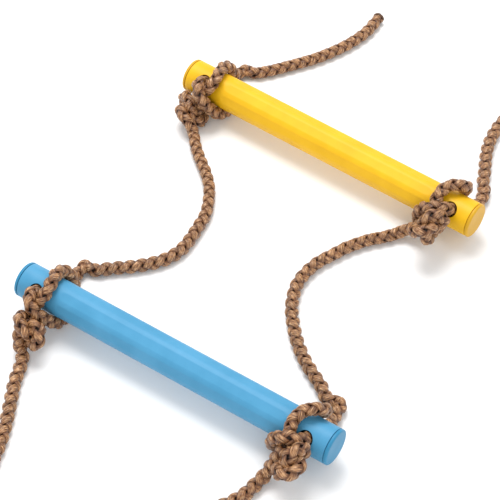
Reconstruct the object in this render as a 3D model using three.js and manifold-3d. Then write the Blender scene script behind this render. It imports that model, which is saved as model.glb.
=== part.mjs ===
// Rope ladder section: two moulded rungs carried by two braided side ropes.
// Millimetres, +Z up, lying on a flat surface at z = 0.  X runs along the rungs
// and the head of the ladder is towards +Y.
import * as THREE from 'three';
import { mergeVertices } from 'three/addons/utils/BufferGeometryUtils.js';
import Module from 'manifold-3d';

const wasm = await Module();
wasm.setup();

// ---- driving dimensions -------------------------------------------------
const RUNG_LENGTH = 318;          // over the two end plugs
const RUNG_RADIUS = 16;
const RUNG_WALL = 2.5;
const HOLE_INSET = 22.5;          // rung end to hole centre
const HOLE_RADIUS = 7.2;
const FLAT_COUNT = 8;             // shallow grip flats round the rung
const FLAT_LENGTH = 228;
const FLAT_WIDTH = 7.6;
const FLAT_FIRST_DEGREES = 65;    // centre of the first flat, above the front
const PLUG_FLANGE = 3;
const PLUG_JOINT = 0.5;           // visible joint between tube and plug
const PLUG_CHAMFER = 0.8;
const PLUG_SPIGOT_LENGTH = 10;
const PLUG_WALL = 2;
const ROPE_RADIUS = 6;
const AXIS_HEIGHT = 28.2;         // rung axis above the surface
const GAP = 0.3;                  // between a rope and the rung it grips
const ROPE_GAP = 0.8;             // between the end faces of two ropes
const FOLD_Y = -140;              // the bay folds on this line
const KNOT_HALF_WIDTH = 16;
const KNOT_HALF_LENGTH = 18;
const KNOT_HALF_HEIGHT = 14.5;
const END_KNOT_DISTANCE = 24;     // rope end to the middle of its end knot
const END_KNOT_TIP = 30;          // and on to the cut tip
const SEALED_TIP_LENGTH = 7;

// Rungs: middle in plan, turn about Z and roll of the rope holes, in degrees.
const RUNGS = {
  yellow: { x: 0, y: 0, turn: 0, roll: 45, colour: '#f5cf2e' },
  blue: { x: 38.4, y: -281, turn: 2.3, roll: 37, colour: '#62b2e6' },
};

// ---- fineness of the solids ---------------------------------------------
const TUBE_SIDES = 36;
const ROPE_SIDES = 8;
const FREE_STEP = 20;             // along a free rope
const KNOT_STEP = 11;             // along a knotted rope
const TUBE_STEPS = 5;             // steps in one of its tubes
const THINNER = 0.15;             // every second tube, so that ends nest

// ---- rope routes --------------------------------------------------------
// Round a rung: outward from the hole centre, degrees above the front
// horizontal, and distance from the rung's axis.
const RIGHT_TURNS = [
  [-4, 42, 27.5], [-10, 37, 30], [-16, 30, 30], [-21, 19, 27.5], [-24, 5, 24],
  [-24.5, -15, 23], [-24.5, -45, 23], [-23.5, -75, 23], [-21, -105, 23], [-17, -135, 23],
  [-10, -165, 23.8], [-3, -195, 24], [4, -220, 24.5], [7, -240, 25], [4, -250, 27],
  [-4, -253, 29], [-10, -261, 26], [-13.5, -278, 23], [-14.5, -296, 23], [-13.5, -309, 23],
  [-11, -322, 23], [-8, -335, 23],
];
const LEFT_TURNS = [
  [-3, 36, 27.5], [-7, 26, 32], [-11, 14, 31], [-14, 2, 27.5], [-17, -12, 24],
  [-19.5, -30, 23], [-20.5, -50, 23], [-20.5, -75, 23], [-19.5, -105, 23], [-17, -135, 23],
  [-13.5, -165, 23], [-10, -195, 23], [-8, -220, 23], [-8, -240, 23], [-9, -254, 23],
  [-10, -267, 23], [-12, -281, 23], [-14, -298, 23], [-13.5, -314, 23], [-10, -328, 23],
  [-4, -342, 23], [2.5, -352, 23.5],
];
// Straight through the rope hole, from the back: distances from the axis.
const THROUGH = [-18, -9, 0, 9, 17.5, 23];

// One hitch for each rung end: the rope coming in behind the rung, the turns
// and the knot in front (outward from the hole, back, above the surface).
const HITCHES = {
  yellow_left: {
    rung: 'yellow', side: -1, turns: LEFT_TURNS,
    head: [[1, 44, 6.1], [2, 38, 6.2], [2, 30, 8.4]],
    knot: [-1, -32, 18], knotAxis: [-0.55, -0.45, -0.35],
    foot: [[-9, -41, 8.5], [-14, -46, 6.4], [-19, -51, 6.1]],
  },
  yellow_right: {
    rung: 'yellow', side: 1, turns: RIGHT_TURNS,
    head: [[3, 44, 6.1], [4, 38, 6.2], [3, 30, 8.4]],
    knot: [-8, -29, 33], knotAxis: [-0.8, -0.2, -0.3],
    foot: [[-29, -29, 11], [-34, -34, 7], [-39, -41, 6.1]],
  },
  blue_left: {
    rung: 'blue', side: -1, turns: LEFT_TURNS,
    head: [[1, 44, 6.1], [1, 38, 6.2], [1, 30, 8.4]],
    knot: [-11, -37, 17], knotAxis: [-0.4, -0.6, -0.3],
    foot: [[-14, -51, 8], [-17, -56, 6.3], [-20, -62, 6.1]],
  },
  blue_right: {
    rung: 'blue', side: 1, turns: RIGHT_TURNS,
    head: [[-4, 44, 6.1], [-3, 38, 6.2], [-1, 30, 8.4]],
    knot: [-5, -29, 25], knotAxis: [-0.5, -0.6, -0.3],
    foot: [[-17, -40, 10], [-19, -46, 6.4], [-20, -53, 6.1]],
  },
};

// Free ropes lie on the surface.  Their points (x, y, height) count from the
// middle of the yellow rung; the hitches give the ends that they join.
const REST = 6.1;
const ROPES = {
  yellow_left_tail: { from: ['yellow_left', 'head'], end: 'tip', route: [
    [-128, 54, REST], [-117, 65, REST], [-108, 78, REST], [-99, 92, REST], [-90, 107, REST],
    [-83, 122, REST], [-77, 138, REST], [-73, 154, REST], [-71, 170, REST], [-72, 186, REST],
  ] },
  yellow_right_tail: { from: ['yellow_right', 'head'], end: 'tip', route: [
    [133, 57, REST], [126, 71, REST], [119, 84, REST], [112, 98, REST], [107, 112, REST],
    [104, 127, REST], [103, 142, REST], [105, 157, REST], [110, 172, REST], [117, 186, REST],
  ] },
  left_bay_rope: { from: ['yellow_left', 'foot'], to: ['blue_left', 'head'], route: [
    [-98, -68, REST], [-83, -79, REST], [-70, -91, REST], [-60, -105, REST], [-52, -120, REST],
    [-48, -137, REST], [-45, -153, REST], [-44, -168, REST], [-48, -183, REST], [-57, -197, REST],
    [-69, -210, REST], [-81, -221, REST], [-91, -231, REST],
  ] },
  right_bay_rope: { from: ['yellow_right', 'foot'], to: ['blue_right', 'head'], route: [
    [88, -53, REST], [80, -65, REST], [73, -78, REST], [68, -92, REST], [63, -106, REST],
    [61, -121, REST], [62, -136, REST], [67, -150, REST], [75, -164, REST], [86, -177, REST],
    [98, -189, REST], [112, -200, REST], [127, -209, REST], [143, -217, REST], [157, -226, REST],
  ] },
  blue_left_tail: { from: ['blue_left', 'foot'], end: 'knot', route: [
    [-69, -362, REST], [-62, -374, REST], [-54, -387, REST], [-46, -400, REST], [-39, -413, REST],
    [-33, -426, REST], [-28, -440, REST], [-25, -454, REST],
  ] },
  blue_right_tail: { from: ['blue_right', 'foot'], end: 'knot', route: [
    [155, -345, REST], [150, -357, REST], [143, -369, REST], [136, -381, REST], [130, -394, REST],
    [126, -408, REST], [124, -422, REST],
  ] },
};

// ---- materials ----------------------------------------------------------
const ropeFibre = new THREE.MeshStandardMaterial({ color: '#8a6242', roughness: 0.55, metalness: 0 });
function plastic(colour) {
  return new THREE.MeshStandardMaterial({ color: colour, roughness: 0.45, metalness: 0 });
}

// ---- solids -------------------------------------------------------------
const rad = THREE.MathUtils.degToRad;
const vec = (x, y, z) => new THREE.Vector3(x, y, z);

function solidOf(geometry) {
  const bare = geometry.clone();
  bare.deleteAttribute('normal');
  bare.deleteAttribute('uv');
  const merged = mergeVertices(bare, 1e-4);
  return new wasm.Manifold(new wasm.Mesh({
    numProp: 3,
    vertProperties: new Float32Array(merged.attributes.position.array),
    triVerts: new Uint32Array(merged.index.array),
  }));
}

function geometryOf(solid) {
  const mesh = solid.getMesh();
  const geometry = new THREE.BufferGeometry();
  geometry.setAttribute('position', new THREE.BufferAttribute(mesh.vertProperties, 3));
  geometry.setIndex(new THREE.BufferAttribute(mesh.triVerts, 1));
  geometry.computeVertexNormals();
  return geometry;
}

// A round bar along X, centred on the origin.
function bar(radius, length) {
  return new THREE.CylinderGeometry(radius, radius, length, TUBE_SIDES).rotateZ(Math.PI / 2);
}

// A large block that fills everything on one side of a plane.
function halfSpace(x, y, z) {
  const SIZE = 2000;
  const centre = vec(x, y, z).normalize().multiplyScalar(SIZE / 2).add(vec(x, y, z));
  return solidOf(new THREE.BoxGeometry(SIZE, SIZE, SIZE).translate(centre.x, centre.y, centre.z));
}

// ---- rungs --------------------------------------------------------------
const HOLE_X = RUNG_LENGTH / 2 - HOLE_INSET;

// A bar across the rung that comes out in front at the given roll.
function crossBar(radius, x, roll) {
  const geometry = new THREE.CylinderGeometry(radius, radius, 4 * RUNG_RADIUS, 20);
  return geometry.rotateX(rad(-roll)).translate(x, 0, 0);
}

// A bar of the rung's length with its two rope holes; grow thickens it.
function drilledBar(roll, grow) {
  const length = RUNG_LENGTH - 2 * (PLUG_FLANGE + PLUG_JOINT);
  let drilled = solidOf(bar(RUNG_RADIUS + grow, length));
  for (const side of [-1, 1]) {
    drilled = drilled.subtract(solidOf(crossBar(HOLE_RADIUS - grow, side * HOLE_X, roll)));
  }
  return drilled;
}

// One shallow flat with round run-outs, cut square to the rung's surface.
function flatCutter(degrees) {
  const half = FLAT_WIDTH / 2;
  const reach = FLAT_LENGTH / 2 - half;
  const outline = new THREE.Shape();
  outline.moveTo(-reach, -half);
  outline.lineTo(reach, -half);
  outline.absarc(reach, 0, half, -Math.PI / 2, Math.PI / 2, false);
  outline.lineTo(-reach, half);
  outline.absarc(-reach, 0, half, Math.PI / 2, Math.PI * 1.5, false);
  const geometry = new THREE.ExtrudeGeometry(outline, { depth: 3, bevelEnabled: false, curveSegments: 4 });
  geometry.translate(0, 0, Math.sqrt(RUNG_RADIUS ** 2 - half ** 2));
  return geometry.rotateX(rad(90 - degrees));
}

function rungTube(roll) {
  let tube = drilledBar(roll, 0);
  tube = tube.subtract(solidOf(bar(RUNG_RADIUS - RUNG_WALL, RUNG_LENGTH)));
  for (let i = 0; i < FLAT_COUNT; i += 1) {
    tube = tube.subtract(solidOf(flatCutter(FLAT_FIRST_DEGREES + (i * 360) / FLAT_COUNT)));
  }
  return geometryOf(tube);
}

// Press-in end plug: flange outside, hollow spigot inside the tube.
function endPlug(side) {
  const spigot = RUNG_RADIUS - RUNG_WALL - GAP;
  const spigotEnd = PLUG_FLANGE + PLUG_SPIGOT_LENGTH;
  const profile = [
    [0, 0],
    [RUNG_RADIUS - PLUG_CHAMFER, 0],
    [RUNG_RADIUS, PLUG_CHAMFER],
    [RUNG_RADIUS, PLUG_FLANGE],
    [spigot, PLUG_FLANGE],
    [spigot, spigotEnd],
    [spigot - PLUG_WALL, spigotEnd],
    [spigot - PLUG_WALL, PLUG_FLANGE],
    [0, PLUG_FLANGE],
  ].map(([radius, depth]) => new THREE.Vector2(radius, depth));
  const geometry = new THREE.LatheGeometry(profile, TUBE_SIDES);
  geometry.rotateZ(side * Math.PI / 2).translate(side * RUNG_LENGTH / 2, 0, 0);
  return geometryOf(solidOf(geometry));
}

// ---- ropes --------------------------------------------------------------
const routeOf = (points) => new THREE.CatmullRomCurve3(points, false, 'centripetal');

function tubeAlong(curve, steps, radius) {
  const section = new THREE.Shape().absarc(0, 0, radius, 0, Math.PI * 2, false);
  return solidOf(new THREE.ExtrudeGeometry(section, {
    steps, bevelEnabled: false, curveSegments: ROPE_SIDES / 2, extrudePath: curve,
  }));
}

function freeRope(points) {
  const curve = routeOf(points);
  return tubeAlong(curve, Math.ceil(curve.getLength() / FREE_STEP), ROPE_RADIUS);
}

// A knotted rope crosses itself, so it is joined from short tubes.
function knottedRope(points) {
  const curve = routeOf(points);
  const count = Math.ceil(curve.getLength() / KNOT_STEP);
  const samples = curve.getSpacedPoints(count);
  let joined = null;
  for (let first = 0; first < count; first += TUBE_STEPS) {
    const thick = (first / TUBE_STEPS) % 2 === 0;
    const from = thick ? first : first - 1;
    const to = Math.min(first + TUBE_STEPS + (thick ? 0 : 1), count);
    const radius = thick ? ROPE_RADIUS : ROPE_RADIUS - THINNER;
    const tube = tubeAlong(routeOf(samples.slice(from, to + 1)), to - from, radius);
    joined = joined ? joined.add(tube) : tube;
  }
  return joined;
}

// An overhand knot as one plain round body, long towards its axis.
function knotBody(centre, axis) {
  const geometry = new THREE.SphereGeometry(1, 12, 8);
  geometry.scale(KNOT_HALF_WIDTH, KNOT_HALF_LENGTH, KNOT_HALF_HEIGHT);
  geometry.applyQuaternion(new THREE.Quaternion().setFromUnitVectors(vec(0, 1, 0), axis.normalize()));
  return solidOf(geometry.translate(centre.x, centre.y, centre.z));
}

// Outward, back and height become a point in the rung's own frame.
const atRung = (side, [out, back, height]) => vec(side * (HOLE_X + out), back, height - AXIS_HEIGHT);

function hitchSolid(hitch) {
  const { side, knotAxis: [out, back, height] } = hitch;
  const { roll } = RUNGS[hitch.rung];
  const round = ([outward, degrees, distance]) => vec(side * (HOLE_X + outward),
    -distance * Math.cos(rad(degrees)), distance * Math.sin(rad(degrees)));
  const centre = atRung(side, hitch.knot);
  const points = [
    ...hitch.head.map((point) => atRung(side, point)),
    ...THROUGH.map((distance) => round([0, roll, distance])),
    ...hitch.turns.map(round),
    centre,
    ...hitch.foot.map((point) => atRung(side, point)),
  ];
  return knottedRope(points)
    .add(knotBody(centre, vec(side * out, back, height)))
    .subtract(drilledBar(roll, GAP))
    .subtract(halfSpace(0, 0, -AXIS_HEIGHT));
}

// ---- assembly -----------------------------------------------------------
const ladder = new THREE.Group();
const frames = {};

function add(name, geometry, material, parent = ladder) {
  const mesh = new THREE.Mesh(geometry, material);
  mesh.name = name;
  parent.add(mesh);
}

for (const [colour, rung] of Object.entries(RUNGS)) {
  const frame = new THREE.Group();
  frame.position.set(rung.x, rung.y, AXIS_HEIGHT);
  frame.rotation.z = rad(rung.turn);
  frame.updateMatrix();
  frames[colour] = frame;
  ladder.add(frame);
  add(`${colour}_rung_tube`, rungTube(rung.roll), plastic(rung.colour), frame);
  for (const [hand, side] of [['left', -1], ['right', 1]]) {
    add(`${colour}_${hand}_end_plug`, endPlug(side), plastic(rung.colour), frame);
  }
}

for (const [name, hitch] of Object.entries(HITCHES)) {
  add(`${name}_hitch`, geometryOf(hitchSolid(hitch)), ropeFibre, frames[hitch.rung]);
}

// Stand the rungs and hitches centred over the origin.
const hard = new THREE.Box3().setFromObject(ladder, true);
ladder.position.set(-(hard.min.x + hard.max.x) / 2, -(hard.min.y + hard.max.y) / 2, -hard.min.z);

// Where a rope leaves a hitch, with a short straight start.
const STRAIGHT = 4;
const LEAD = 11;
function leadFrom([name, which]) {
  const hitch = HITCHES[name];
  const ends = hitch[which].map((point) => atRung(hitch.side, point).applyMatrix4(frames[hitch.rung].matrix));
  const [outer, inner] = which === 'head' ? ends : ends.slice().reverse();
  const direction = outer.clone().sub(inner).normalize();
  const onward = (distance) => outer.clone().addScaledVector(direction, distance);
  return [onward(ROPE_GAP), onward(STRAIGHT), onward(LEAD).setZ(REST)];
}

for (const [name, rope] of Object.entries(ROPES)) {
  const route = rope.route.map(([x, y, z]) => vec(x, y, z));
  const points = [...leadFrom(rope.from), ...route];
  if (rope.to) {
    points.push(...leadFrom(rope.to).reverse());
    const whole = freeRope(points);
    add(`${name}_upper`, geometryOf(whole.subtract(halfSpace(0, FOLD_Y + ROPE_GAP / 2, 0))), ropeFibre);
    add(`${name}_lower`, geometryOf(whole.intersect(halfSpace(0, FOLD_Y - ROPE_GAP / 2, 0))), ropeFibre);
    continue;
  }
  const last = route.at(-1);
  const onward = last.clone().sub(route.at(-2)).normalize();
  const along = (distance, height) => last.clone().addScaledVector(onward, distance).setZ(height);
  points.splice(-1, 0, along(-STRAIGHT, REST));
  add(name, geometryOf(freeRope(points)), ropeFibre);
  if (rope.end === 'tip') {
    const tip = freeRope([along(ROPE_GAP, REST), along(SEALED_TIP_LENGTH, REST)]);
    add(name.replace('tail', 'sealed_tip'), geometryOf(tip), ropeFibre);
  } else {
    const centre = along(END_KNOT_DISTANCE, KNOT_HALF_HEIGHT + 0.1);
    const core = freeRope([along(ROPE_GAP, REST), along(END_KNOT_DISTANCE + END_KNOT_TIP, REST)]);
    add(name.replace('tail', 'end_knot'), geometryOf(core.add(knotBody(centre, onward.clone()))), ropeFibre);
  }
}

export default ladder;
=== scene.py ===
import math

import bmesh
import bpy
import numpy as np
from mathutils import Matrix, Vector


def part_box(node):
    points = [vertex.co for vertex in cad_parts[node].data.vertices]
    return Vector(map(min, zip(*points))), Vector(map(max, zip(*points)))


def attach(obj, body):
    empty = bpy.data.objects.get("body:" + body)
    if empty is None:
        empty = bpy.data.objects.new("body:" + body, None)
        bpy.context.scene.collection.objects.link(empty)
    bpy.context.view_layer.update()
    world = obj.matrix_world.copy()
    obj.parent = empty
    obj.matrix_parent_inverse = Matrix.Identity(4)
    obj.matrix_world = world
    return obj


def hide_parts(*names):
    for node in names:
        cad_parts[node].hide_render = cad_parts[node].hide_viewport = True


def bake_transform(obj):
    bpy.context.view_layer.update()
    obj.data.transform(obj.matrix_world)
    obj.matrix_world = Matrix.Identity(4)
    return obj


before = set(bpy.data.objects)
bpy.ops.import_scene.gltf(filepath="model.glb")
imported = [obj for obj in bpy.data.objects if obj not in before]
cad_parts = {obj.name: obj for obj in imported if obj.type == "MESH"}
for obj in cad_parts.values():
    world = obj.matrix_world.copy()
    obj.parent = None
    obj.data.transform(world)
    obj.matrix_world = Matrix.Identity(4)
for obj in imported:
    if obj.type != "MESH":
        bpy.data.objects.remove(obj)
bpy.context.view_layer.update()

# Sizes in metres, as in the CAD.
ROPE_DIAMETER = 0.012
ROPE_RADIUS = ROPE_DIAMETER / 2
RUNG_RADIUS = 0.016
RUNG_LENGTH = 0.318
RUNG_WALL = 0.0025
HOLE_X = RUNG_LENGTH / 2 - 0.0225
HOLE_RADIUS = 0.0072
FLAT_COUNT = 8
FLAT_LENGTH = 0.228
FLAT_WIDTH = 0.0076
FLAT_FIRST_DEGREES = 65
PLUG_FLANGE = 0.003
PLUG_JOINT = 0.0005
PLUG_CHAMFER = 0.0008
REST = 0.0061
TIP_LENGTH = 0.007
END_KNOT_DISTANCE = 0.024
END_KNOT_END = 0.054
RUN_OUT_NEAR = 0.004
RUN_OUT_FAR = 0.011
FLOOR_STEP = 0.002
SPLINE_STEPS = 8
KNOT_POINTS = 19
HOLE_SIDES = 48
CUTTER_REACH = 0.03
RUNGS = {"yellow": {"turn": 0, "roll": 45}, "blue": {"turn": 2.3, "roll": 37}}

# The turns round a rung: outward from the hole, degrees above the front, distance from the axis.
RIGHT_TURNS = [
    (-0.004, 42, 0.0275), (-0.010, 37, 0.0300), (-0.016, 30, 0.0300), (-0.021, 19, 0.0275),
    (-0.024, 5, 0.0240), (-0.0245, -15, 0.0222), (-0.0245, -45, 0.0222), (-0.0235, -75, 0.0222),
    (-0.021, -105, 0.0222), (-0.017, -135, 0.0222), (-0.010, -165, 0.0228), (-0.003, -195, 0.0235),
    (0.001, -220, 0.0240), (0.002, -240, 0.0245), (-0.001, -250, 0.0260), (-0.0065, -255, 0.0265),
    (-0.010, -261, 0.0252), (-0.0135, -278, 0.0225), (-0.0145, -296, 0.0222), (-0.0135, -309, 0.0222),
    (-0.011, -322, 0.0222), (-0.008, -335, 0.0226),
]
LEFT_TURNS = [
    (-0.003, 36, 0.0275), (-0.007, 26, 0.0320), (-0.011, 14, 0.0310), (-0.014, 2, 0.0275),
    (-0.017, -12, 0.0240), (-0.0195, -30, 0.0223), (-0.0205, -50, 0.0222), (-0.0205, -75, 0.0222),
    (-0.0195, -105, 0.0222), (-0.017, -135, 0.0222), (-0.0135, -165, 0.0223), (-0.010, -195, 0.0226),
    (-0.008, -220, 0.0228), (-0.008, -240, 0.0228), (-0.009, -254, 0.0226), (-0.010, -267, 0.0223),
    (-0.012, -281, 0.0222), (-0.0140, -298, 0.0222), (-0.0135, -314, 0.0222), (-0.010, -328, 0.0222),
    (-0.004, -342, 0.0225), (0.0025, -352, 0.0235),
]
THROUGH = (-0.018, -0.009, 0.0, 0.009, 0.0175, 0.023)
KNOT_FRONT = (0.388, -0.528, 0.755)

# Each hitch: outward, backward and height of its first points, its knot and its last points.
HITCHES = {
    "yellow_left": {
        "turns": LEFT_TURNS,
        "head": [(0.001, 0.044, 0.0061), (0.002, 0.038, 0.0062), (0.002, 0.030, 0.0084)],
        "knot": (-0.001, -0.030, 0.018), "along": (-0.45, -0.55, -0.35), "hand": 1,
        "foot": [(-0.009, -0.041, 0.0085), (-0.014, -0.046, 0.0064), (-0.019, -0.051, 0.0061)],
    },
    "yellow_right": {
        "turns": RIGHT_TURNS,
        "head": [(0.003, 0.044, 0.0061), (0.004, 0.038, 0.0062), (0.003, 0.030, 0.0084)],
        "knot": (-0.006, -0.026, 0.038), "along": (-0.8, -0.3, -0.35), "hand": -1,
        "foot": [(-0.029, -0.029, 0.011), (-0.034, -0.034, 0.007), (-0.039, -0.041, 0.0061)],
    },
    "blue_left": {
        "turns": LEFT_TURNS,
        "head": [(0.001, 0.044, 0.0061), (0.001, 0.038, 0.0062), (0.001, 0.030, 0.0084)],
        "knot": (-0.011, -0.036, 0.017), "along": (-0.4, -0.6, -0.3), "hand": -1,
        "foot": [(-0.014, -0.051, 0.008), (-0.017, -0.056, 0.0063), (-0.020, -0.062, 0.0061)],
    },
    "blue_right": {
        "turns": RIGHT_TURNS,
        "head": [(-0.004, 0.044, 0.0061), (-0.003, 0.038, 0.0062), (-0.001, 0.030, 0.0084)],
        "knot": (-0.001, -0.024, 0.035), "along": (-0.5, -0.6, -0.3), "hand": -1,
        "foot": [(-0.017, -0.040, 0.010), (-0.019, -0.046, 0.0064), (-0.020, -0.053, 0.0061)],
    },
}

# The free ropes' routes on the floor, from the middle of the yellow rung.
YELLOW_LEFT_TAIL = [
    (-0.128, 0.054), (-0.117, 0.065), (-0.108, 0.078), (-0.099, 0.092), (-0.090, 0.107),
    (-0.083, 0.122), (-0.077, 0.138), (-0.073, 0.154), (-0.071, 0.170), (-0.072, 0.186),
]
YELLOW_RIGHT_TAIL = [
    (0.133, 0.057), (0.126, 0.071), (0.119, 0.084), (0.112, 0.098), (0.107, 0.112),
    (0.104, 0.127), (0.103, 0.142), (0.105, 0.157), (0.110, 0.172), (0.117, 0.186),
]
LEFT_BAY_ROPE = [
    (-0.098, -0.068), (-0.083, -0.079), (-0.070, -0.091), (-0.060, -0.105), (-0.052, -0.120),
    (-0.048, -0.137), (-0.045, -0.153), (-0.044, -0.168), (-0.048, -0.183), (-0.057, -0.197),
    (-0.069, -0.210), (-0.081, -0.221), (-0.091, -0.231),
]
RIGHT_BAY_ROPE = [
    (0.088, -0.053), (0.080, -0.065), (0.073, -0.078), (0.068, -0.092), (0.063, -0.106),
    (0.061, -0.121), (0.062, -0.136), (0.067, -0.150), (0.075, -0.164), (0.086, -0.177),
    (0.098, -0.189), (0.112, -0.200), (0.127, -0.209), (0.143, -0.217), (0.157, -0.226),
]
BLUE_LEFT_TAIL = [
    (-0.069, -0.362), (-0.062, -0.374), (-0.054, -0.387), (-0.046, -0.400), (-0.039, -0.413),
    (-0.033, -0.426), (-0.028, -0.440), (-0.025, -0.454),
]
BLUE_RIGHT_TAIL = [
    (0.155, -0.345), (0.150, -0.357), (0.143, -0.369), (0.136, -0.381), (0.130, -0.394),
    (0.126, -0.408), (0.124, -0.422),
]

# The braid: two broad strands each way round, which slow down on the outside and cross quickly underneath.
STRANDS_EACH_WAY = 2
PITCH = 0.021
LINGER = 0.13
STEP = 0.0011
SOLVE_STEP = 0.003
STRAND_SIDES = 12
STRAND_MIDDLE = 0.0036
STRAND_WEAVE = 0.0008
STRAND_HALF_WIDTH = 0.0032
STRAND_HALF_HEIGHT = 0.0018
STRAND_SWELL = 0.0001
CORE_RADIUS = 0.0026
# The core's value for the painted shade: low, so the core is painted dark as if in deep shade between the
# strands.
CORE_PAINTED_SHADE = 0.4
THREAD_SCALE = 100
THREAD_SHIFT = 3.7

# The camera looks down at the ladder from the front right.
CAMERA_AZIMUTH = 36.296
CAMERA_ELEVATION = 49.041
CAMERA_DISTANCE = 1.6327
CAMERA_LENS = 134.21
CAMERA_SENSOR = 36
CAMERA_TARGET = (0.01697, -0.14611, 0)


def unit(v):
    v = np.array(v, float)
    return v / np.linalg.norm(v)


def rung_middle(colour):
    low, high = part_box(colour + "_rung_tube")
    return np.array((low + high) / 2)


ORIGIN = rung_middle("yellow")
AXIS_HEIGHT = ORIGIN[2]


def from_rung(colour, points):
    """Points in a rung's own frame, to the whole ladder's frame."""
    turn = math.radians(RUNGS[colour]["turn"])
    p = np.array(points, float).reshape(-1, 3)
    x = p[:, 0] * math.cos(turn) - p[:, 1] * math.sin(turn)
    y = p[:, 0] * math.sin(turn) + p[:, 1] * math.cos(turn)
    return np.stack([x, y, p[:, 2]], -1) + rung_middle(colour)


def look_back(azimuth, elevation):
    a = math.radians(azimuth)
    e = math.radians(elevation)
    return np.array([math.sin(a) * math.cos(e), -math.cos(a) * math.cos(e), math.sin(e)])


# ---------------------------------------------------------------- rope routes

def arc_lengths(points):
    return np.r_[0, np.cumsum(np.linalg.norm(np.diff(points, axis=0), axis=1))]


def resample(points, step, *values):
    """Evenly spaced points along a line, with any values that go with them."""
    s = arc_lengths(points)
    u = np.linspace(0, s[-1], max(2, int(round(s[-1] / step))) + 1)
    even = np.stack([np.interp(u, s, points[:, k]) for k in range(3)], -1)
    return (even, *[np.interp(u, s, v) for v in values]) if values else even


def spline(points, steps=SPLINE_STEPS):
    """A centripetal Catmull-Rom curve through the points."""
    p = np.array(points, float)
    q = np.vstack([2 * p[0] - p[1], p, 2 * p[-1] - p[-2]])
    out = []
    for i in range(1, len(q) - 2):
        a, b, c, d = q[i - 1:i + 3]
        t0 = 0.0
        t1 = t0 + math.sqrt(np.linalg.norm(b - a)) + 1e-9
        t2 = t1 + math.sqrt(np.linalg.norm(c - b)) + 1e-9
        t3 = t2 + math.sqrt(np.linalg.norm(d - c)) + 1e-9
        for t in np.linspace(t1, t2, steps, endpoint=False):
            ab = (t1 - t) / (t1 - t0) * a + (t - t0) / (t1 - t0) * b
            bc = (t2 - t) / (t2 - t1) * b + (t - t1) / (t2 - t1) * c
            cd = (t3 - t) / (t3 - t2) * c + (t - t2) / (t3 - t2) * d
            abc = (t2 - t) / (t2 - t0) * ab + (t - t0) / (t2 - t0) * bc
            bcd = (t3 - t) / (t3 - t1) * bc + (t - t1) / (t3 - t1) * cd
            out.append((t2 - t) / (t2 - t1) * abc + (t - t1) / (t2 - t1) * bcd)
    out.append(p[-1])
    return np.array(out)


def overhand(centre, along, hand, facing=KNOT_FRONT, size=0.0042, lift=1.5, gap=0.45):
    """The points of a loose overhand knot, which the solver then draws together."""
    u = unit(along)
    w = unit(np.cross(facing, u))
    v = np.cross(w, u)
    points = []
    for a in np.linspace(math.pi + gap, 3 * math.pi - gap, KNOT_POINTS):
        x = math.sin(a) + 2 * math.sin(2 * a)
        y = math.cos(a) - 2 * math.cos(2 * a)
        z = -lift * math.sin(3 * a)
        points.append(size * (0.85 * x * u + y * v * hand + z * w))
    points = np.array(points)
    points -= (points.max(0) + points.min(0)) / 2
    return list(points + centre)


def settle(points, freedom, colour=None, rounds=250, closest=0.0098):
    """Draws a knot together: smooths the line, and keeps it clear of itself, the rung and the floor."""
    p = points.copy()
    floor = ROPE_RADIUS - (AXIS_HEIGHT if colour else 0)
    for turn in range(rounds):
        free = np.where(freedom < 0.02, 0, freedom)
        free[:3] = 0
        free[-3:] = 0
        middle = np.zeros_like(p)
        middle[1:-1] = (p[:-2] + p[2:]) / 2 - p[1:-1]
        p = p + 0.35 * free[:, None] * middle
        apart = np.abs(np.subtract.outer(np.arange(len(p)), np.arange(len(p)))) * SOLVE_STEP
        for _ in range(2):
            distance = np.linalg.norm(p[:, None] - p[None], axis=-1)
            i, j = np.where((distance < closest) & (apart > 1.7 * ROPE_DIAMETER))
            i, j = i[i < j], j[i < j]
            if len(i):
                way = (p[i] - p[j]) / distance[i, j][:, None]
                push = (closest - distance[i, j]) * 0.35
                share_i = np.maximum(free[i], 0.05)
                share_j = np.maximum(free[j], 0.05)
                both = share_i + share_j
                total = np.zeros_like(p)
                count = np.zeros(len(p))
                np.add.at(total, i, way * (push * share_i / both * 2)[:, None])
                np.add.at(total, j, -way * (push * share_j / both * 2)[:, None])
                np.add.at(count, i, 1)
                np.add.at(count, j, 1)
                total /= np.maximum(count, 1)[:, None]
                total[free == 0] = 0
                p = p + total
            if colour:
                radius = np.hypot(p[:, 1], p[:, 2])
                inside = (radius < RUNG_RADIUS + ROPE_RADIUS) & (free > 0)
                grow = np.where(inside, (RUNG_RADIUS + ROPE_RADIUS) / np.maximum(radius, 1e-6), 1)
                p[:, 1] *= grow
                p[:, 2] *= grow
            p[:, 2] = np.where(free > 0, np.maximum(p[:, 2], floor), p[:, 2])
        if turn % 25 == 24 and turn < rounds - 30:
            p, freedom = resample(p, SOLVE_STEP, freedom)
    return p


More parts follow.
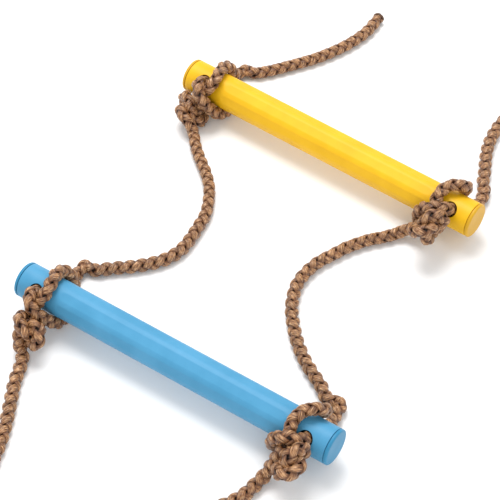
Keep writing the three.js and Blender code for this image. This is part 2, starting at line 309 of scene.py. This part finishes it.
def hitch_line(name):
    """One hitch, from its rope's end at the back to its end in front, in the ladder's frame."""
    hitch = HITCHES[name]
    colour, hand = name.split("_")
    side = 1 if hand == "right" else -1
    roll = RUNGS[colour]["roll"]

    def beside(p):
        return np.array([side * (HOLE_X + p[0]), p[1], p[2] - AXIS_HEIGHT])

    def around(p):
        a = math.radians(p[1])
        return np.array([side * (HOLE_X + p[0]), -p[2] * math.cos(a), p[2] * math.sin(a)])

    def way(p):
        return np.array([side * p[0], p[1], p[2]])

    parts = [
        ([beside(p) for p in hitch["head"]], 0),
        ([around((0, roll, d)) for d in THROUGH], 0),
        ([around(p) for p in hitch["turns"]], 0.04),
        (overhand(beside(hitch["knot"]), way(hitch["along"]), hitch["hand"]), 1),
        ([beside(p) for p in hitch["foot"]], 0.02),
    ]
    points = [p for group, _ in parts for p in group]
    freedom = [f for group, f in parts for _ in group]
    line = spline(points)
    free = np.interp(np.arange(len(line)) / SPLINE_STEPS, np.arange(len(points)), freedom)
    line, free = resample(line, SOLVE_STEP, free)
    return from_rung(colour, settle(line, free, colour))


def on_floor(points):
    return np.array([(ORIGIN[0] + x, ORIGIN[1] + y, REST) for x, y in points])


def end_knot_line(start, way):
    """The stopper knot at a rope's end."""
    way = unit(way)
    flat = np.array([way[0], way[1], 0])
    centre = start + flat * END_KNOT_DISTANCE + np.array([0, 0, 0.009])
    points = [start, start + flat * 0.004]
    points += overhand(centre, flat, 1, (0.2, -0.3, 1))
    points += [start + flat * 0.045, start + flat * (END_KNOT_END - 0.004), start + flat * END_KNOT_END]
    freedom = [0, 0] + [1] * KNOT_POINTS + [0.02, 0, 0]
    line = spline(points)
    free = np.interp(np.arange(len(line)) / SPLINE_STEPS, np.arange(len(points)), freedom)
    line, free = resample(line, SOLVE_STEP, free)
    return settle(line, free)


def smooth(points, times=3):
    p = points.copy()
    for _ in range(times):
        p[1:-1] = (p[:-2] + 2 * p[1:-1] + p[2:]) / 4
    return p


class Rope:
    """A whole side rope: named stretches joined end to end into one line, with a frame that doesn't twist."""

    def __init__(self, stretches):
        lines = []
        marks = [0.0]
        for _, line in stretches:
            lines.append(line if not lines else line[1:] if np.allclose(line[0], lines[-1][-1]) else line)
            marks.append(arc_lengths(np.vstack(lines))[-1])
        rough = np.vstack(lines)
        total = arc_lengths(rough)[-1]
        self.points = smooth(resample(rough, STEP), 6)
        count = len(self.points) - 1
        self.cuts = {}
        for (name, _), a, b in zip(stretches, marks, marks[1:]):
            self.cuts[name] = (int(round(a / total * count)), int(round(b / total * count)))
        self.along = np.gradient(self.points, axis=0)
        self.along /= np.linalg.norm(self.along, axis=1)[:, None]
        self.up = np.zeros_like(self.points)
        up = np.array([0, 0, 1.0])
        for i, t in enumerate(self.along):
            up = up - t * (up @ t)
            up /= np.linalg.norm(up)
            self.up[i] = up
        self.across = np.cross(self.along, self.up)
        self.distance = arc_lengths(self.points)

    def line(self, name):
        a, b = self.cuts[name]
        return self.points[a:b + 1]

    def length(self, name):
        return float(arc_lengths(self.line(name))[-1])


# ------------------------------------------------------------------- meshes

def make_mesh(name, vertices, faces, uvs=None, painted_shade_values=None, material=None):
    mesh = bpy.data.meshes.new(name)
    mesh.from_pydata([tuple(v) for v in vertices], [], faces)
    mesh.polygons.foreach_set("use_smooth", np.ones(len(mesh.polygons), bool))
    if uvs is not None:
        layer = mesh.uv_layers.new(name="UVMap")
        layer.data.foreach_set("uv", np.array(uvs, np.float32).ravel())
    # Each vertex's distance out from the rope's centre, which the rope material turns into painted shade
    # between the strands.
    if painted_shade_values is not None:
        attribute = mesh.attributes.new("painted_shade_reach", "FLOAT", "POINT")
        attribute.data.foreach_set("value", np.array(painted_shade_values, np.float32))
    mesh.validate()
    obj = bpy.data.objects.new(name, mesh)
    bpy.context.collection.objects.link(obj)
    if material:
        mesh.materials.append(material)
    return obj


def stands_for(obj, *nodes):
    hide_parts(*nodes)


def tube(rings, first_vertex, u_values):
    """Faces and UVs that join a list of rings of points."""
    count, sides = rings.shape[0], rings.shape[1]
    faces = []
    uvs = []
    for i in range(count - 1):
        base = first_vertex + i * sides
        for k in range(sides):
            n = (k + 1) % sides
            faces.append((base + k, base + n, base + sides + n, base + sides + k))
            v0 = k / sides
            v1 = (k + 1) / sides
            uvs += [(u_values[i], v0), (u_values[i], v1), (u_values[i + 1], v1), (u_values[i + 1], v0)]
    return faces, uvs


def braid_mesh(name, rope, a, b, material, narrow=None):
    """The stretch of a rope from sample a to sample b, as woven strands round a core."""
    index = np.arange(a, b + 1)
    s = rope.distance[index]
    centre = rope.points[index]
    up = rope.up[index]
    across = rope.across[index]
    along = rope.along[index]
    scale = np.ones(len(index)) if narrow is None else narrow
    vertices = []
    faces = []
    uvs = []
    painted_shade_values = []
    for strand in range(2 * STRANDS_EACH_WAY):
        way = 1 if strand % 2 == 0 else -1
        start = (strand // 2) * 2 * math.pi / STRANDS_EACH_WAY
        turned = 2 * math.pi * s / PITCH
        phase = STRANDS_EACH_WAY * (turned + way * start) + (0 if way > 0 else math.pi)
        angle = way * (turned - LINGER * np.sin(phase)) + start
        weave = np.cos(phase)
        out = across * np.cos(angle)[:, None] + up * np.sin(angle)[:, None]
        radius = (STRAND_MIDDLE + STRAND_WEAVE * weave) * scale
        middle = centre + out * radius[:, None]
        ahead = -across * np.sin(angle)[:, None] + up * np.cos(angle)[:, None]
        speed = way * (1 - LINGER * STRANDS_EACH_WAY * weave)
        direction = along * (PITCH / (2 * math.pi)) + ahead * (speed * radius)[:, None]
        direction /= np.linalg.norm(direction, axis=1)[:, None]
        wide = np.cross(direction, out)
        wide /= np.linalg.norm(wide, axis=1)[:, None]
        around = np.linspace(0, 2 * math.pi, STRAND_SIDES, endpoint=False)
        high = (STRAND_HALF_HEIGHT + STRAND_SWELL * weave) * scale
        rings = (
            middle[:, None]
            + wide[:, None] * (np.cos(around)[None, :, None] * STRAND_HALF_WIDTH * scale[:, None, None])
            + out[:, None] * (np.sin(around)[None, :, None] * high[:, None, None])
        )
        f, t = tube(rings, len(vertices), s * THREAD_SCALE + strand * THREAD_SHIFT)
        faces += f
        uvs += t
        # Distance out from the rope's centre, used only for the painted shade between the strands.
        reach = np.linalg.norm(rings - centre[:, None], axis=-1) / ROPE_RADIUS
        painted_shade_values += list(reach.ravel())
        vertices += list(rings.reshape(-1, 3))
    around = np.linspace(0, 2 * math.pi, STRAND_SIDES, endpoint=False)
    rings = centre[:, None] + CORE_RADIUS * (
        across[:, None] * np.cos(around)[None, :, None] + up[:, None] * np.sin(around)[None, :, None]
    ) * scale[:, None, None]
    f, t = tube(rings, len(vertices), s * THREAD_SCALE)
    faces += f
    uvs += t
    # The core sits deep between the strands; its low value paints it in deep shade.
    painted_shade_values += [CORE_PAINTED_SHADE] * (rings.shape[0] * rings.shape[1])
    vertices += list(rings.reshape(-1, 3))
    return make_mesh(name, vertices, faces, uvs, painted_shade_values, material)


def sealed_end(name, point, way, material, radius=0.0056, length=0.002):
    """The melted end of a rope: a short rounded cap with a slightly lumpy rim."""
    way = unit(way)
    up = np.array([0, 0, 1.0])
    across = unit(np.cross(way, up))
    profile = [
        (0.92, -0.6), (1.0, -0.3), (1.04, 0.0), (1.03, 0.35),
        (0.96, 0.7), (0.82, 0.92), (0.5, 1.0), (0.02, 1.02),
    ]
    sides = 40
    around = np.linspace(0, 2 * math.pi, sides, endpoint=False)
    lumps = 1 + 0.03 * np.sin(5 * around) + 0.02 * np.sin(9 * around + 1)
    rings = []
    for r, d in profile:
        circle = across * np.cos(around)[:, None] + np.cross(across, way) * np.sin(around)[:, None]
        rings.append(point + way * (d * length) + circle * (radius * r * lumps)[:, None])
    rings = np.array(rings)
    faces, uvs = tube(rings, 0, np.arange(len(profile)) / len(profile))
    last = (len(profile) - 1) * sides
    faces.append(tuple(range(last, last + sides)))
    uvs += [(0, 0)] * sides
    return make_mesh(name, list(rings.reshape(-1, 3)), faces, uvs, None, material)


# ---------------------------------------------------------------- materials

def node(tree, kind, **settings):
    made = tree.nodes.new(kind)
    for key, value in settings.items():
        setattr(made, key, value)
    return made


def material_base(name):
    material = bpy.data.materials.new(name)
    material.use_nodes = True
    tree = material.node_tree
    shader = tree.nodes["Principled BSDF"]
    return material, tree, shader


def ramp(tree, stops):
    made = node(tree, "ShaderNodeValToRGB")
    while len(made.color_ramp.elements) < len(stops):
        made.color_ramp.elements.new(0.5)
    for element, (place, colour) in zip(made.color_ramp.elements, stops):
        element.position = place
        element.color = (*colour, 1)
    return made


def rope_material():
    """Glossy brown filament: fine threads along each strand, with painted shade darkening each strand towards
    the rope's centre and between the strands.
    """
    material, tree, shader = material_base("braided_rope")
    link = tree.links.new
    uv = node(tree, "ShaderNodeUVMap", uv_map="UVMap")
    stretch = node(tree, "ShaderNodeMapping")
    stretch.inputs["Scale"].default_value = (1.1, 12, 1)
    threads = node(tree, "ShaderNodeTexNoise")
    threads.inputs["Scale"].default_value = 3.0
    threads.inputs["Detail"].default_value = 4
    threads.inputs["Roughness"].default_value = 0.6
    link(uv.outputs[0], stretch.inputs[0])
    link(stretch.outputs[0], threads.inputs["Vector"])
    place = node(tree, "ShaderNodeTexCoord")
    patch = node(tree, "ShaderNodeTexNoise")
    patch.inputs["Scale"].default_value = 160
    patch.inputs["Detail"].default_value = 2
    link(place.outputs["Object"], patch.inputs["Vector"])
    colour = ramp(tree, [
        (0.36, (0.055, 0.018, 0.005)),
        (0.50, (0.270, 0.115, 0.042)),
        (0.64, (0.820, 0.520, 0.280)),
    ])
    link(threads.outputs["Fac"], colour.inputs["Fac"])
    # Painted shade: the strands darken towards the rope's centre and the core between them, where shade
    # falls; only the outer crowns keep full colour.
    depth = node(tree, "ShaderNodeAttribute", attribute_name="painted_shade_reach")
    dark = ramp(tree, [(0.68, (0.05, 0.025, 0.012)), (0.83, (0.36, 0.25, 0.18)), (0.97, (1, 1, 1))])
    link(depth.outputs["Fac"], dark.inputs["Fac"])
    mix = node(tree, "ShaderNodeMix", data_type="RGBA", blend_type="MULTIPLY")
    mix.inputs["Factor"].default_value = 1
    link(colour.outputs["Color"], mix.inputs["A"])
    link(dark.outputs["Color"], mix.inputs["B"])
    tint = ramp(tree, [(0.35, (0.82, 0.80, 0.78)), (0.65, (1.15, 1.12, 1.08))])
    link(patch.outputs["Fac"], tint.inputs["Fac"])
    both = node(tree, "ShaderNodeMix", data_type="RGBA", blend_type="MULTIPLY")
    both.inputs["Factor"].default_value = 1
    link(mix.outputs["Result"], both.inputs["A"])
    link(tint.outputs["Color"], both.inputs["B"])
    link(both.outputs["Result"], shader.inputs["Base Color"])
    rough = node(tree, "ShaderNodeMapRange")
    rough.inputs["To Min"].default_value = 0.42
    rough.inputs["To Max"].default_value = 0.24
    link(threads.outputs["Fac"], rough.inputs["Value"])
    link(rough.outputs["Result"], shader.inputs["Roughness"])
    bump = node(tree, "ShaderNodeBump")
    bump.inputs["Strength"].default_value = 0.9
    bump.inputs["Distance"].default_value = 0.0006
    link(threads.outputs["Fac"], bump.inputs["Height"])
    link(bump.outputs["Normal"], shader.inputs["Normal"])
    shader.inputs["Specular IOR Level"].default_value = 0.5
    return material


def melted_material():
    material, tree, shader = material_base("melted_rope_end")
    link = tree.links.new
    place = node(tree, "ShaderNodeTexCoord")
    lumps = node(tree, "ShaderNodeTexNoise")
    lumps.inputs["Scale"].default_value = 420
    lumps.inputs["Detail"].default_value = 3
    link(place.outputs["Object"], lumps.inputs["Vector"])
    colour = ramp(tree, [(0.3, (0.045, 0.020, 0.010)), (0.7, (0.150, 0.070, 0.032))])
    link(lumps.outputs["Fac"], colour.inputs["Fac"])
    link(colour.outputs["Color"], shader.inputs["Base Color"])
    bump = node(tree, "ShaderNodeBump")
    bump.inputs["Strength"].default_value = 0.5
    bump.inputs["Distance"].default_value = 0.0004
    link(lumps.outputs["Fac"], bump.inputs["Height"])
    link(bump.outputs["Normal"], shader.inputs["Normal"])
    shader.inputs["Roughness"].default_value = 0.32
    return material


def plastic_material(name, dark, light, roughness=0.46):
    """Extruded plastic: faint draw lines along the tube, a soft mottle and a satin surface."""
    material, tree, shader = material_base(name)
    link = tree.links.new
    place = node(tree, "ShaderNodeTexCoord")
    lines = node(tree, "ShaderNodeMapping")
    lines.inputs["Scale"].default_value = (6, 900, 900)
    draw = node(tree, "ShaderNodeTexNoise")
    draw.inputs["Scale"].default_value = 1.0
    draw.inputs["Detail"].default_value = 3
    link(place.outputs["Object"], lines.inputs[0])
    link(lines.outputs[0], draw.inputs["Vector"])
    mottle = node(tree, "ShaderNodeTexNoise")
    mottle.inputs["Scale"].default_value = 45
    mottle.inputs["Detail"].default_value = 3
    link(place.outputs["Object"], mottle.inputs["Vector"])
    colour = ramp(tree, [(0.35, dark), (0.68, light)])
    link(mottle.outputs["Fac"], colour.inputs["Fac"])
    link(colour.outputs["Color"], shader.inputs["Base Color"])
    rough = node(tree, "ShaderNodeMapRange")
    rough.inputs["To Min"].default_value = roughness - 0.06
    rough.inputs["To Max"].default_value = roughness + 0.08
    link(draw.outputs["Fac"], rough.inputs["Value"])
    link(rough.outputs["Result"], shader.inputs["Roughness"])
    fine = node(tree, "ShaderNodeTexNoise")
    fine.inputs["Scale"].default_value = 1400
    fine.inputs["Detail"].default_value = 2
    link(place.outputs["Object"], fine.inputs["Vector"])
    grain = node(tree, "ShaderNodeBump")
    grain.inputs["Strength"].default_value = 0.10
    grain.inputs["Distance"].default_value = 0.0002
    link(fine.outputs["Fac"], grain.inputs["Height"])
    bump = node(tree, "ShaderNodeBump")
    bump.inputs["Strength"].default_value = 0.12
    bump.inputs["Distance"].default_value = 0.0003
    link(draw.outputs["Fac"], bump.inputs["Height"])
    link(grain.outputs["Normal"], bump.inputs["Normal"])
    link(bump.outputs["Normal"], shader.inputs["Normal"])
    shader.inputs["Specular IOR Level"].default_value = 0.28
    return material


# -------------------------------------------------------------------- rungs

def outer_radius(x, angle):
    """The tube's outside, with its shallow grip flats, which run out in a curve at their ends."""
    half = math.asin(FLAT_WIDTH / 2 / RUNG_RADIUS)
    spacing = 2 * math.pi / FLAT_COUNT
    off = (angle - math.radians(FLAT_FIRST_DEGREES) + spacing / 2) % spacing - spacing / 2
    reach = FLAT_LENGTH / 2
    fade = min(max((reach - abs(x)) / 0.006, 0), 1)
    depth = RUNG_RADIUS * (1 - math.cos(half)) * math.sqrt(1 - (1 - fade) ** 2)
    if depth <= 0 or abs(off) > half - 1e-6:
        return RUNG_RADIUS
    return min(RUNG_RADIUS, (RUNG_RADIUS - depth) / math.cos(off))


def rung_angles():
    """Angles round the tube, with one exactly on each edge of each flat."""
    half = math.asin(FLAT_WIDTH / 2 / RUNG_RADIUS)
    spacing = 2 * math.pi / FLAT_COUNT
    angles = []
    for i in range(FLAT_COUNT):
        middle = math.radians(FLAT_FIRST_DEGREES) + i * spacing
        angles += list(np.linspace(middle - half, middle + half, 9)[:-1])
        angles += list(np.linspace(middle + half, middle + spacing - half, 10)[:-1])
    return np.array(angles)


def rung_tube(colour, material):
    end = RUNG_LENGTH / 2 - PLUG_FLANGE - PLUG_JOINT
    inner = RUNG_RADIUS - RUNG_WALL
    chamfer = 0.0004
    middle_run = FLAT_LENGTH / 2
    xs = [-end, -end + chamfer]
    xs += list(np.linspace(-end + 0.004, -middle_run - 0.001, 10))
    xs += list(np.linspace(-middle_run, -middle_run + 0.008, 17))
    xs += list(np.linspace(-middle_run + 0.014, middle_run - 0.014, 30))
    xs += [-x for x in reversed(xs[:29])]
    angles = rung_angles()
    sides = len(angles)
    rings = []
    for x in xs:
        less = chamfer if abs(abs(x) - end) < 1e-9 else 0
        ring = []
        for a in angles:
            r = outer_radius(x, a) - less
            ring.append((x, -r * math.cos(a), r * math.sin(a)))
        rings.append(ring)
    for x in (end, end - chamfer, 0, -end + chamfer, -end):
        r = inner + (chamfer if abs(abs(x) - end) < 1e-9 else 0)
        rings.append([(x, -r * math.cos(a), r * math.sin(a)) for a in angles])
    rings.append(rings[0])
    rings = np.array(rings)
    vertices = rings[:-1].reshape(-1, 3)
    faces = []
    count = len(rings) - 1
    for i in range(count):
        for k in range(sides):
            n = (k + 1) % sides
            j = (i + 1) % count
            faces.append((i * sides + k, j * sides + k, j * sides + n, i * sides + n))
    obj = make_mesh(colour + "_tube", from_rung(colour, vertices), faces, None, None, material)
    roll = math.radians(RUNGS[colour]["roll"])
    for side in (-1, 1):
        around = np.linspace(0, 2 * math.pi, HOLE_SIDES, endpoint=False)
        bar = []
        for reach in (-CUTTER_REACH, CUTTER_REACH):
            for a in around:
                across = HOLE_RADIUS * math.cos(a)
                lift = HOLE_RADIUS * math.sin(a)
                bar.append((
                    side * HOLE_X + across,
                    -reach * math.cos(roll) + lift * math.sin(roll),
                    reach * math.sin(roll) + lift * math.cos(roll),
                ))
        bar_faces = []
        for k in range(HOLE_SIDES):
            n = (k + 1) % HOLE_SIDES
            bar_faces.append((k, n, HOLE_SIDES + n, HOLE_SIDES + k))
        bar_faces.append(tuple(reversed(range(HOLE_SIDES))))
        bar_faces.append(tuple(range(HOLE_SIDES, 2 * HOLE_SIDES)))
        cutter = make_mesh("cutter", from_rung(colour, bar), bar_faces)
        flip_to_outside(cutter)
        cut = obj.modifiers.new("hole", "BOOLEAN")
        cut.operation = "DIFFERENCE"
        cut.solver = "EXACT"
        cut.object = cutter
        apply_modifiers(obj)
        bpy.data.objects.remove(cutter)
    obj.data.set_sharp_from_angle(angle=math.radians(9))
    return obj


def flip_to_outside(obj):
    mesh = bmesh.new()
    mesh.from_mesh(obj.data)
    bmesh.ops.recalc_face_normals(mesh, faces=mesh.faces)
    mesh.to_mesh(obj.data)
    mesh.free()


def apply_modifiers(obj):
    bpy.context.view_layer.update()
    shown = obj.evaluated_get(bpy.context.evaluated_depsgraph_get())
    done = bpy.data.meshes.new_from_object(shown)
    obj.modifiers.clear()
    obj.data = done


def end_plug(colour, side, material):
    """The press-in plug: a chamfered, very slightly domed face over a short spigot."""
    sides = 96
    end = RUNG_LENGTH / 2
    spigot = RUNG_RADIUS - RUNG_WALL - 0.0003
    profile = [
        (end - 0.00030, 0.0005), (end - 0.00022, 0.005), (end - 0.00015, 0.0098), (end - 0.00002, 0.0128),
        (end, 0.0140), (end - 0.00008, 0.01475), (end - 0.0004, 0.01545), (end - 0.0008, 0.01585),
        (end - 0.0012, 0.0160), (end - PLUG_FLANGE + 0.0003, 0.0160), (end - PLUG_FLANGE, 0.0157),
        (end - PLUG_FLANGE, spigot + 0.0002), (end - PLUG_FLANGE - 0.0002, spigot),
        (end - PLUG_FLANGE - 0.0095, spigot), (end - PLUG_FLANGE - 0.0100, spigot - 0.0005),
        (end - PLUG_FLANGE - 0.0100, spigot - 0.0020), (end - PLUG_FLANGE, spigot - 0.0020),
        (end - PLUG_FLANGE, 0.0005),
    ]
    angles = np.linspace(0, 2 * math.pi, sides, endpoint=False)
    rings = [[(side * x, -r * math.cos(a), r * math.sin(a)) for a in angles] for x, r in profile]
    vertices = np.array(rings).reshape(-1, 3)
    faces = []
    for i in range(len(profile) - 1):
        for k in range(sides):
            n = (k + 1) % sides
            faces.append((i * sides + k, (i + 1) * sides + k, (i + 1) * sides + n, i * sides + n))
    faces.append(tuple(range(sides)))
    faces.append(tuple((len(profile) - 1) * sides + k for k in reversed(range(sides))))
    hand = "right" if side > 0 else "left"
    name = colour + "_" + hand + "_plug"
    obj = make_mesh(name, from_rung(colour, vertices), faces, None, None, material)
    flip_to_outside(obj)
    obj.data.set_sharp_from_angle(angle=math.radians(40))
    return obj


# ----------------------------------------------------------------- assembly

rope_look = rope_material()
melted_look = melted_material()
PLASTIC = {
    "yellow": plastic_material("yellow_plastic", (0.770, 0.430, 0.006), (0.830, 0.480, 0.009)),
    "blue": plastic_material("blue_plastic", (0.062, 0.280, 0.480), (0.078, 0.315, 0.530)),
}
PLUG_PLASTIC = {
    "yellow": plastic_material("yellow_plug_plastic", (0.590, 0.322, 0.010), (0.650, 0.362, 0.016), 0.42),
    "blue": plastic_material("blue_plug_plastic", (0.030, 0.222, 0.400), (0.040, 0.250, 0.440), 0.42),
}
BODY = {"yellow": "root", "blue": "blue_side"}

for colour in ("yellow", "blue"):
    made = rung_tube(colour, PLASTIC[colour])
    stands_for(made, colour + "_rung_tube")
    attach(made, BODY[colour])
    for side, hand in ((-1, "left"), (1, "right")):
        made = end_plug(colour, side, PLUG_PLASTIC[colour])
        stands_for(made, colour + "_" + hand + "_end_plug")
        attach(made, BODY[colour])


def floor_rope(points, before, after):
    """A free rope's line on the floor, joined to the hitch before it and to any hitch after it."""
    line = list(on_floor(points))
    way = unit(before[-1] - before[-2])
    line = [before[-1], before[-1] + way * RUN_OUT_NEAR, before[-1] + way * RUN_OUT_FAR] + line
    if after is not None:
        way = unit(after[0] - after[1])
        line = line + [after[0] + way * RUN_OUT_FAR, after[0] + way * RUN_OUT_NEAR, after[0]]
    line = np.array(line)
    line[:, 2] = REST
    return resample(spline(line), FLOOR_STEP)


def side_rope(hand, upper_tail, bay, lower_tail):
    upper = hitch_line("yellow_" + hand)
    lower = hitch_line("blue_" + hand)
    top = floor_rope(upper_tail, upper[::-1], None)[::-1]
    way = unit(top[0] - top[1])
    tip = np.array([top[0] + way * d for d in (TIP_LENGTH, TIP_LENGTH / 2, 0)])
    between = floor_rope(bay, upper, lower)
    bottom = floor_rope(lower_tail, lower, None)
    knot = end_knot_line(bottom[-1], bottom[-1] - bottom[-2])
    return Rope([
        ("tip", tip), ("top", top), ("upper_hitch", upper), ("bay", between),
        ("lower_hitch", lower), ("bottom", bottom), ("end_knot", knot),
    ])


def declare_cord(rope, stretch, exit_first):
    path = rope.line(stretch)
    if not exit_first:
        path = path[::-1]
    round(rope.length(stretch), 3)


ROUTES = {
    "left": (YELLOW_LEFT_TAIL, LEFT_BAY_ROPE, BLUE_LEFT_TAIL),
    "right": (YELLOW_RIGHT_TAIL, RIGHT_BAY_ROPE, BLUE_RIGHT_TAIL),
}
for hand, routes in ROUTES.items():
    rope = side_rope(hand, *routes)
    for colour, stretch in (("yellow", "upper_hitch"), ("blue", "lower_hitch")):
        made = braid_mesh(colour + "_" + hand + "_braided_hitch", rope, *rope.cuts[stretch], rope_look)
        stands_for(made, colour + "_" + hand + "_hitch")
        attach(made, BODY[colour])

    made = braid_mesh(hand + "_bay_braid", rope, *rope.cuts["bay"], rope_look)
    stands_for(made, hand + "_bay_rope_upper", hand + "_bay_rope_lower")
    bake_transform(made)
    declare_cord(rope, "bay", True)

    tail_body = "yellow_" + hand + "_tail_rope"
    top = rope.line("top")[::-1]
    tail = braid_mesh("yellow_" + hand + "_tail_braid", rope, *rope.cuts["top"], rope_look)
    stands_for(tail, "yellow_" + hand + "_tail")
    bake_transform(tail)
    a, b = rope.cuts["tip"]
    tip = braid_mesh("yellow_" + hand + "_tip_braid", rope, a, b, rope_look, np.linspace(0.93, 1, b - a + 1))
    name = "yellow_" + hand + "_melted_end"
    cap = sealed_end(name, rope.points[a], -rope.along[a], melted_look)
    stands_for(tip, "yellow_" + hand + "_sealed_tip")
    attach(tip, tail_body)
    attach(cap, tail_body)
    declare_cord(rope, "top", False)

    tail_body = "blue_" + hand + "_tail_rope"
    bottom = rope.line("bottom")
    tail = braid_mesh("blue_" + hand + "_tail_braid", rope, *rope.cuts["bottom"], rope_look)
    stands_for(tail, "blue_" + hand + "_tail")
    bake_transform(tail)
    knot = braid_mesh("blue_" + hand + "_stopper_knot", rope, *rope.cuts["end_knot"], rope_look)
    name = "blue_" + hand + "_melted_end"
    cap = sealed_end(name, rope.points[-1], rope.along[-1], melted_look)
    stands_for(knot, "blue_" + hand + "_end_knot")
    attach(knot, tail_body)
    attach(cap, tail_body)
    declare_cord(rope, "bottom", True)

# ------------------------------------------------------------ floor, light, camera

floor_material, floor_tree, floor_shader = material_base("pale_floor")
floor_shader.inputs["Base Color"].default_value = (0.93, 0.93, 0.93, 1)
floor_shader.inputs["Roughness"].default_value = 0.9
floor_shader.inputs["Specular IOR Level"].default_value = 0.1
floor = make_mesh(
    "floor", [(-8, -8, 0), (8, -8, 0), (8, 8, 0), (-8, 8, 0)], [(0, 1, 2, 3)], None, None, floor_material,
)

world = bpy.data.worlds.new("soft_sky")
bpy.context.scene.world = world
world.use_nodes = True
world.node_tree.nodes["Background"].inputs["Color"].default_value = (1, 1, 1, 1)
world.node_tree.nodes["Background"].inputs["Strength"].default_value = 0.85


def soft_light(name, place, power, size):
    data = bpy.data.lights.new(name, "AREA")
    data.energy = power
    data.shape = "DISK"
    data.size = size
    lamp = bpy.data.objects.new(name, data)
    bpy.context.collection.objects.link(lamp)
    lamp.location = place
    lamp.rotation_mode = "QUATERNION"
    lamp.rotation_quaternion = (-Vector(place)).to_track_quat("-Z", "Y")
    return lamp


soft_light("key", (-0.6, 0.5, 1.9), 32, 1.2)
soft_light("fill", (1.2, -1.4, 1.2), 8, 1.6)

bpy.context.scene.view_settings.view_transform = "Standard"

camera_data = bpy.data.cameras.new("camera")
camera_data.lens = CAMERA_LENS
camera_data.sensor_width = CAMERA_SENSOR
camera_data.clip_start = 0.05
camera_data.clip_end = 50
camera = bpy.data.objects.new("camera", camera_data)
bpy.context.collection.objects.link(camera)
back = look_back(CAMERA_AZIMUTH, CAMERA_ELEVATION)
camera.location = Vector(ORIGIN + np.array(CAMERA_TARGET) + back * CAMERA_DISTANCE)
camera.rotation_mode = "QUATERNION"
camera.rotation_quaternion = Vector(-back).to_track_quat("-Z", "Y")
bpy.context.scene.camera = camera
